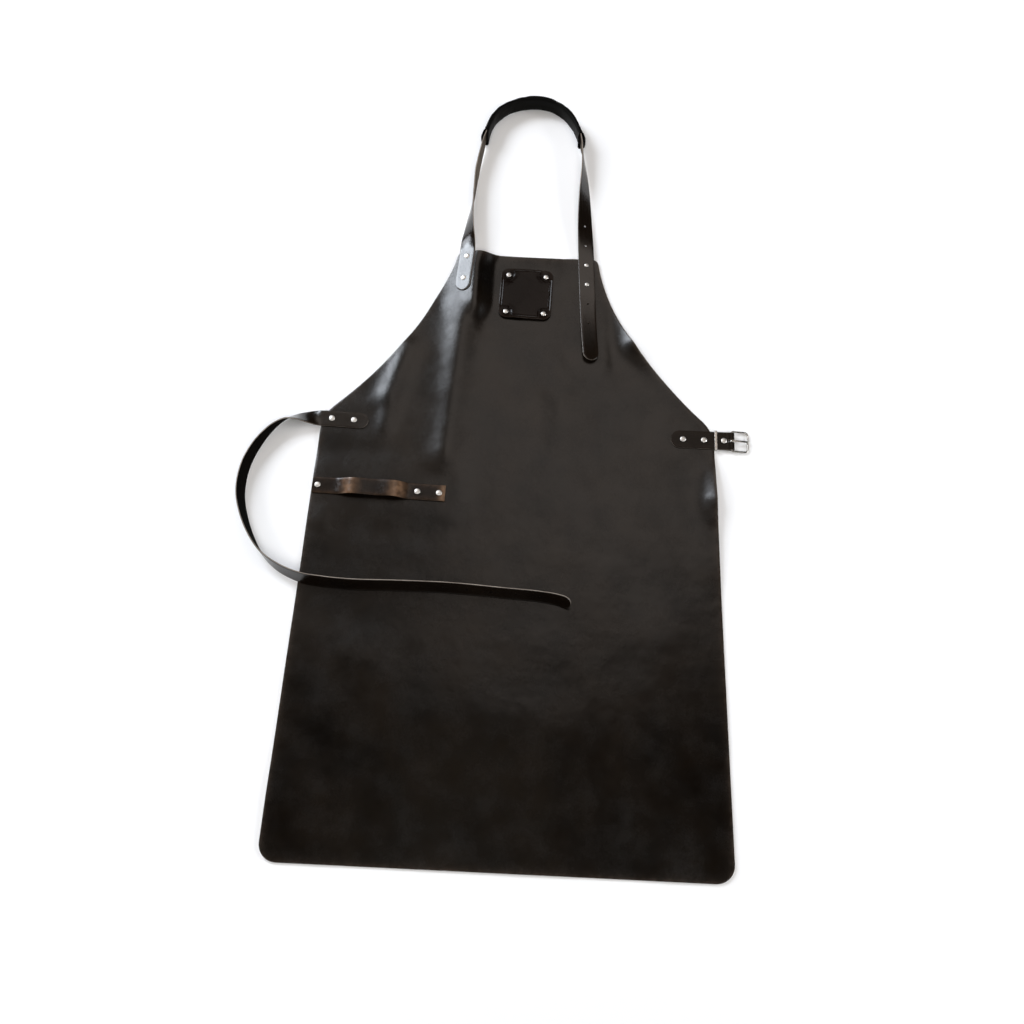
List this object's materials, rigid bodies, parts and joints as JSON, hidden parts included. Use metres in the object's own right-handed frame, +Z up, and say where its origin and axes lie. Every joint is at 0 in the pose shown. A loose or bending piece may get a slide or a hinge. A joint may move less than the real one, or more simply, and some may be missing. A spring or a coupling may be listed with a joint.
{
  "type": "leather bib apron",
  "caption": "Dark brown leather bib apron lying flat, with a padded neck strap, a riveted waist strap, a towel loop and a buckle tab.",
  "frame": {"origin": "on the surface that the apron lies on, at the panel's back under the middle of the waist line", "axes": "+X to the side with the buckle, +Y from the hem to the bib, +Z up from the surface"},
  "size_m": [0.762, 1.2395, 0.0301],
  "materials": {
    "panel_leather": "waxed, satin",
    "strap_leather": "polished grain",
    "towel_leather": "polished grain",
    "patch_leather": "glossy",
    "pad_leather": "matt, crumpled",
    "nickel": "polished nickel",
    "rivet_nickel": "worn nickel"
  },
  "bodies": {
    "apron": {"panel": "panel_leather", "neck_strap": "strap_leather", "neck_pad": "pad_leather", "patch": "patch_leather", "waist_strap": "strap_leather", "towel_strap": "towel_leather", "buckle_tab": "strap_leather", "rivet_neck_left_1": "rivet_nickel", "rivet_neck_left_2": "rivet_nickel", "rivet_neck_right_1": "rivet_nickel", "rivet_neck_right_2": "rivet_nickel", "rivet_patch_1": "rivet_nickel", "rivet_patch_2": "rivet_nickel", "rivet_patch_3": "rivet_nickel", "rivet_patch_4": "rivet_nickel", "rivet_waist_1": "rivet_nickel", "rivet_waist_2": "rivet_nickel", "rivet_towel_1": "rivet_nickel", "rivet_towel_2": "rivet_nickel", "rivet_towel_3": "rivet_nickel", "rivet_tab_1": "rivet_nickel", "rivet_tab_2": "rivet_nickel", "rivet_tab_3": "rivet_nickel"},
    "buckle": {"buckle_frame": "nickel"},
    "prong": {"prong": "nickel"},
    "keeper": {"keeper": "nickel"}
  },
  "joints": [
    {"name": "buckle_hinge", "type": "hinge", "parent": "apron", "child": "buckle", "pos_m": [0.3259, -0.0132, 0.00395], "axis": [0, -1, 0], "range_deg": [-90, 40]},
    {"name": "prong_hinge", "type": "hinge", "parent": "buckle", "child": "prong", "pos_m": [0.3259, -0.0132, 0.00395], "axis": [0, -1, 0], "range_deg": [0, 90]},
    {"name": "keeper_slide", "type": "slide", "parent": "apron", "child": "keeper", "axis": [1, 0, 0], "range_m": [0, 0.005]}
  ]
}
